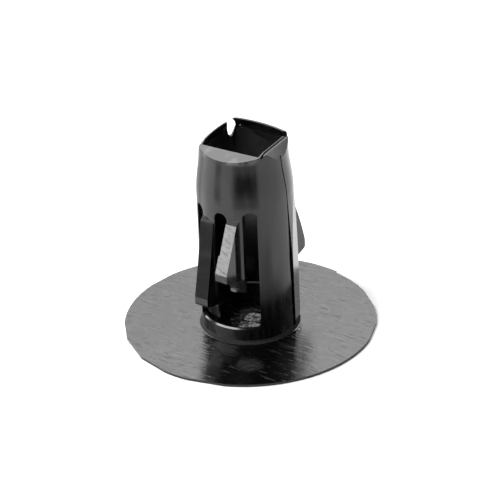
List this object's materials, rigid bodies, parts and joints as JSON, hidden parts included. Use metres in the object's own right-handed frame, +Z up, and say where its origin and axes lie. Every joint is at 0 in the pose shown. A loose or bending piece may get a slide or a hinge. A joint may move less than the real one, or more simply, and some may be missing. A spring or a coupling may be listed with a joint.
{
  "type": "push rivet",
  "caption": "Black moulded push rivet: thin round head and a hollow windowed shank with springy barbed legs and a four-sided mouth.",
  "frame": {"origin": "middle of the underside of the head disc", "axes": "+Z up along the shank from the head to the mouth, one window of the shank faces -Y and the other +Y, the lapped seam is on the +X side"},
  "size_m": [0.0252, 0.0254, 0.0207],
  "materials": {
    "black_plastic": "satin black, finely scratched"
  },
  "bodies": {
    "root": {"push_rivet": "black_plastic"}
  },
  "joints": []
}
